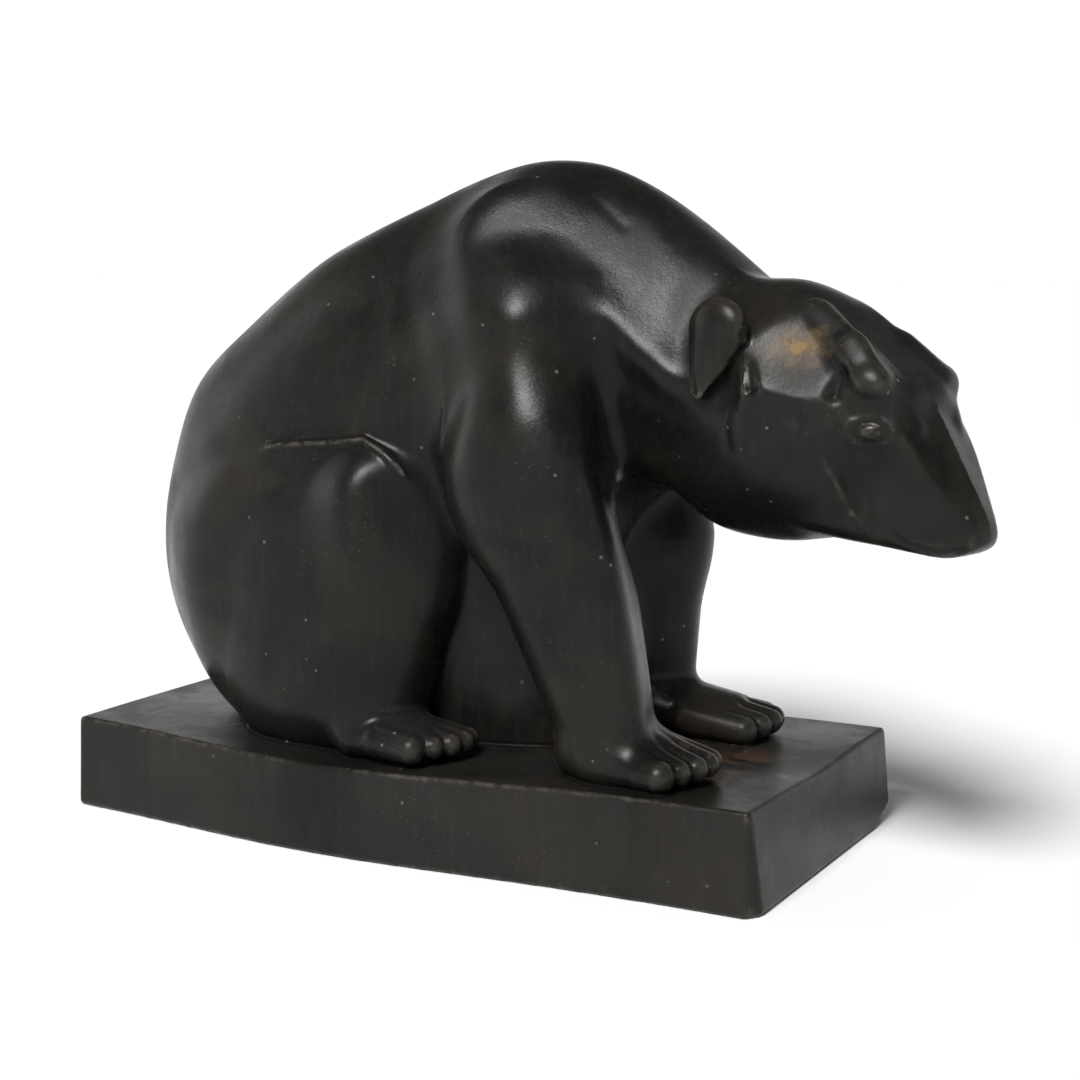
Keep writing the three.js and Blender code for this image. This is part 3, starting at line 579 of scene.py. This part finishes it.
def material():
    mat = bpy.data.materials.new("dark_ceramic")
    mat.use_nodes = True
    nt = mat.node_tree
    nt.nodes.clear()
    N, L = nt.nodes.new, nt.links.new

    def node(kind, **inputs):
        n = N(kind)
        for k, val in inputs.items():
            k = k.replace("_", " ")
            if isinstance(val, bpy.types.NodeSocket):
                L(val, n.inputs[k])
            else:
                n.inputs[k].default_value = val
        return n

    place = N("ShaderNodeTexCoord").outputs["Object"]
    mm = N("ShaderNodeVectorMath")
    mm.operation = "SCALE"
    L(place, mm.inputs[0])
    mm.inputs["Scale"].default_value = 1000.0
    mm = mm.outputs[0]

    def noise(scale, detail=3.0, rough=0.5, distort=0.0, vector=None):
        n = node("ShaderNodeTexNoise", Vector=vector or mm, Scale=scale, Detail=detail, Roughness=rough, Distortion=distort)
        return n.outputs["Fac"]

    def math_(op, a, b=None, c=None, clamp=False):
        n = N("ShaderNodeMath")
        n.operation = op
        n.use_clamp = clamp
        for i, val in enumerate((a, b, c)):
            if val is None:
                continue
            if isinstance(val, bpy.types.NodeSocket):
                L(val, n.inputs[i])
            else:
                n.inputs[i].default_value = val
        return n.outputs[0]

    def spread(val, lo, hi, to_lo=0.0, to_hi=1.0):
        n = N("ShaderNodeMapRange")
        n.interpolation_type = "SMOOTHSTEP"
        L(val, n.inputs["Value"])
        n.inputs["From Min"].default_value = lo
        n.inputs["From Max"].default_value = hi
        n.inputs["To Min"].default_value = to_lo
        n.inputs["To Max"].default_value = to_hi
        return n.outputs["Result"]

    def mix(a, b, fac):
        n = N("ShaderNodeMix")
        n.data_type = "RGBA"
        for sock, val in ((n.inputs[6], a), (n.inputs[7], b), (n.inputs[0], fac)):
            if isinstance(val, bpy.types.NodeSocket):
                L(val, sock)
            else:
                sock.default_value = val
        return n.outputs[2]

    def attr(name):
        n = N("ShaderNodeAttribute")
        n.attribute_name = name
        return n.outputs["Fac"]

    def far_from(point, squash=(1, 1, 1)):
        s = N("ShaderNodeVectorMath")
        s.operation = "SUBTRACT"
        L(mm, s.inputs[0])
        s.inputs[1].default_value = point
        m = N("ShaderNodeVectorMath")
        m.operation = "MULTIPLY"
        L(s.outputs[0], m.inputs[0])
        m.inputs[1].default_value = squash
        l = N("ShaderNodeVectorMath")
        l.operation = "LENGTH"
        L(m.outputs[0], l.inputs[0])
        return l.outputs["Value"]

    # body colour: near-black with warm and cool grey drifts
    dark = (0.0060, 0.0059, 0.0053, 1)
    warm = (0.0135, 0.0118, 0.0095, 1)
    cool = (0.0085, 0.0091, 0.0094, 1)
    pale = (0.028, 0.026, 0.0225, 1)
    drift = spread(noise(0.028, 4, 0.55, 0.6), 0.42, 0.62)
    drift2 = spread(noise(0.045, 3, 0.5, 0.3), 0.46, 0.66)
    col = mix(dark, warm, math_("MULTIPLY", drift, 0.85))
    col = mix(col, cool, math_("MULTIPLY", drift2, 0.6))
    # faint brushed streaks that follow the legs down
    st = N("ShaderNodeVectorMath")
    st.operation = "MULTIPLY"
    L(mm, st.inputs[0])
    st.inputs[1].default_value = (1.0, 1.0, 0.14)
    streak = spread(noise(0.55, 3, 0.6, 0.2, st.outputs[0]), 0.5, 0.72)
    col = mix(col, pale, math_("MULTIPLY", streak, 0.16))
    # edges rubbed paler as wear; creases, grooves and the plinth seam darker, a painted shade
    edge, form = attr("edge"), attr("form")
    rub = math_("MULTIPLY", spread(edge, 0.10, 0.55), spread(noise(0.35, 4, 0.6), 0.36, 0.6))
    col = mix(col, (0.085, 0.077, 0.064, 1), math_("MULTIPLY", rub, 0.6))
    # painted shade: darker colour in the creases and at the seam, where shade falls
    groove = spread(math_("MULTIPLY", edge, -1.0), 0.04, 0.5)
    col = mix(col, (0.0035, 0.0035, 0.0032, 1), math_("MULTIPLY", groove, 0.75))
    high = spread(form, 0.05, 0.22)
    col = mix(col, pale, math_("MULTIPLY", high, 0.22))
    # the worn spot on the temple: ochre clay in a brown fringe
    ragged = math_("MULTIPLY", math_("SUBTRACT", noise(0.28, 5, 0.65), 0.5), 9.0)
    away = math_("ADD", far_from(SPOT, (0.75, 1.0, 1.0)), ragged)
    fringe = spread(away, 7.0, 2.6)
    core = spread(away, 3.2, 0.8)
    col = mix(col, (0.075, 0.051, 0.030, 1), math_("MULTIPLY", fringe, 0.75))
    col = mix(col, (0.17, 0.112, 0.05, 1), math_("MULTIPLY", core, 0.85))
    # rusty bloom on the plinth round the paws
    bloom = spread(noise(0.06, 4, 0.6, 0.4), 0.5, 0.68)
    bloom = math_("MULTIPLY", bloom, spread(far_from((70, -16, 25), (0.6, 0.8, 1.6)), 26.0, 8.0))
    col = mix(col, (0.085, 0.046, 0.028, 1), math_("MULTIPLY", bloom, 0.7))
    # small pale specks
    sp = N("ShaderNodeTexVoronoi")
    L(mm, sp.inputs["Vector"])
    sp.inputs["Scale"].default_value = 0.17
    speck = math_("MULTIPLY", spread(sp.outputs["Distance"], 0.10, 0.04), spread(noise(0.07, 2), 0.5, 0.6))
    sp2 = N("ShaderNodeTexVoronoi")
    L(mm, sp2.inputs["Vector"])
    sp2.inputs["Scale"].default_value = 0.62
    speck2 = math_("MULTIPLY", spread(sp2.outputs["Distance"], 0.17, 0.08), spread(noise(0.05, 3), 0.52, 0.62))
    specks = math_("MAXIMUM", math_("MULTIPLY", speck, 0.7), math_("MULTIPLY", speck2, 0.25))
    col = mix(col, (0.16, 0.15, 0.135, 1), math_("MULTIPLY", specks, 0.7))

    rough = math_("ADD", 0.19, math_("MULTIPLY", spread(noise(0.05, 4, 0.6, 0.5), 0.35, 0.65), 0.13))
    rough = math_("ADD", rough, math_("MULTIPLY", noise(1.3, 3, 0.6), 0.10))
    rough = math_("ADD", rough, math_("MULTIPLY", specks, 0.3))
    rough = math_("ADD", rough, math_("MULTIPLY", core, 0.2), clamp=True)

    # surface: soft modelling marks, fine grain, tiny pits
    soft = noise(0.07, 3, 0.5, 0.3)
    fine = noise(1.1, 4, 0.6)
    grain = noise(3.2, 3, 0.6)
    high_ = math_("ADD", math_("MULTIPLY", soft, 0.24), math_("MULTIPLY", fine, 0.05))
    high_ = math_("ADD", high_, math_("MULTIPLY", grain, 0.035))
    high_ = math_("ADD", high_, math_("MULTIPLY", specks, 0.10))
    high_ = math_("SUBTRACT", high_, math_("MULTIPLY", core, 0.12))
    bump = N("ShaderNodeBump")
    L(high_, bump.inputs["Height"])
    bump.inputs["Strength"].default_value = 0.8
    bump.inputs["Distance"].default_value = 0.0009

    p = N("ShaderNodeBsdfPrincipled")
    L(col, p.inputs["Base Color"])
    L(rough, p.inputs["Roughness"])
    L(bump.outputs["Normal"], p.inputs["Normal"])
    p.inputs["IOR"].default_value = 1.5
    # less shine in the creases and at the seam, to go with their painted shade
    shine = math_("SUBTRACT", 0.14, math_("MULTIPLY", groove, 0.11))
    L(shine, p.inputs["Specular IOR Level"])
    o = N("ShaderNodeOutputMaterial")
    L(p.outputs[0], o.inputs[0])
    return mat


me.materials.append(material())
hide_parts("bear_on_plinth")
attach(bear, "root")

# ---------------------------------------------------------------- floor, light
bpy.ops.mesh.primitive_plane_add(size=1.0, location=(0, 0, -0.0002))
floor = bpy.context.object
floor.name = "floor"
floor.scale = (60, 60, 1)
fm = bpy.data.materials.new("pale_floor")
fm.use_nodes = True
b = fm.node_tree.nodes["Principled BSDF"]
b.inputs["Base Color"].default_value = (0.80, 0.812, 0.825, 1)
b.inputs["Roughness"].default_value = 0.75
floor.data.materials.append(fm)

world = bpy.data.worlds.new("studio")
bpy.context.scene.world = world
world.use_nodes = True
wt = world.node_tree
bg = wt.nodes["Background"]
bg.inputs[0].default_value = (1.0, 1.0, 1.0, 1)
# a white wall all round, a dim ceiling
way = wt.nodes.new("ShaderNodeTexCoord")
part = wt.nodes.new("ShaderNodeSeparateXYZ")
fall = wt.nodes.new("ShaderNodeMapRange")
fall.interpolation_type = "SMOOTHSTEP"
wt.links.new(way.outputs["Generated"], part.inputs[0])
wt.links.new(part.outputs["Z"], fall.inputs["Value"])
fall.inputs["From Min"].default_value = 0.18
fall.inputs["From Max"].default_value = 0.5
fall.inputs["To Min"].default_value = 1.03
fall.inputs["To Max"].default_value = 0.08
wt.links.new(fall.outputs["Result"], bg.inputs[1])


def toward(az, el):
    """Unit vector to a place at an azimuth from -Y towards +X and an elevation, in degrees."""
    a, e = math.radians(az), math.radians(el)
    return Vector((math.sin(a) * math.cos(e), -math.cos(a) * math.cos(e), math.sin(e)))


sun = bpy.data.lights.new("key", "SUN")
sun.energy = 4.7
sun.angle = math.radians(22)
sun.color = (1.0, 0.985, 0.965)
sun_ob = bpy.data.objects.new("key", sun)
bpy.context.scene.collection.objects.link(sun_ob)
sun_ob.rotation_euler = (-toward(2, 49)).to_track_quat("-Z", "Y").to_euler()
fill = bpy.data.lights.new("side", "AREA")
fill.shape = "RECTANGLE"
fill.size, fill.size_y = 0.35, 0.7
fill.energy = 0.9
fill_ob = bpy.data.objects.new("side", fill)
bpy.context.scene.collection.objects.link(fill_ob)
fill_ob.location = toward(-80, 22) * 1.0 + Vector((0, 0, 0.08))
fill_ob.rotation_euler = (-toward(-80, 22)).to_track_quat("-Z", "Y").to_euler()

# ---------------------------------------------------------------- camera
AZ, EL, DIST, FOCAL = 28.9, 8.1, 0.500, 1890.0
AIM = (0.0182, 0.0, 0.0762)
a, e = math.radians(AZ), math.radians(EL)
back = Vector((math.sin(a) * math.cos(e), -math.cos(a) * math.cos(e), math.sin(e)))
right = Vector((math.cos(a), math.sin(a), 0))
up = back.cross(right)
eye = Vector(AIM) + back * DIST
cam = bpy.data.cameras.new("camera")
cam_ob = bpy.data.objects.new("camera", cam)
bpy.context.scene.collection.objects.link(cam_ob)
cam_ob.matrix_world = Matrix(
    [[right[i], up[i], back[i], eye[i]] for i in range(3)] + [[0, 0, 0, 1]]
)
cam.sensor_width = 36
cam.lens = FOCAL / 1080 * 36
cam.clip_start = 0.01
bpy.context.scene.camera = cam_ob
bpy.context.scene.view_settings.view_transform = "Standard"

bpy.context.view_layer.update()
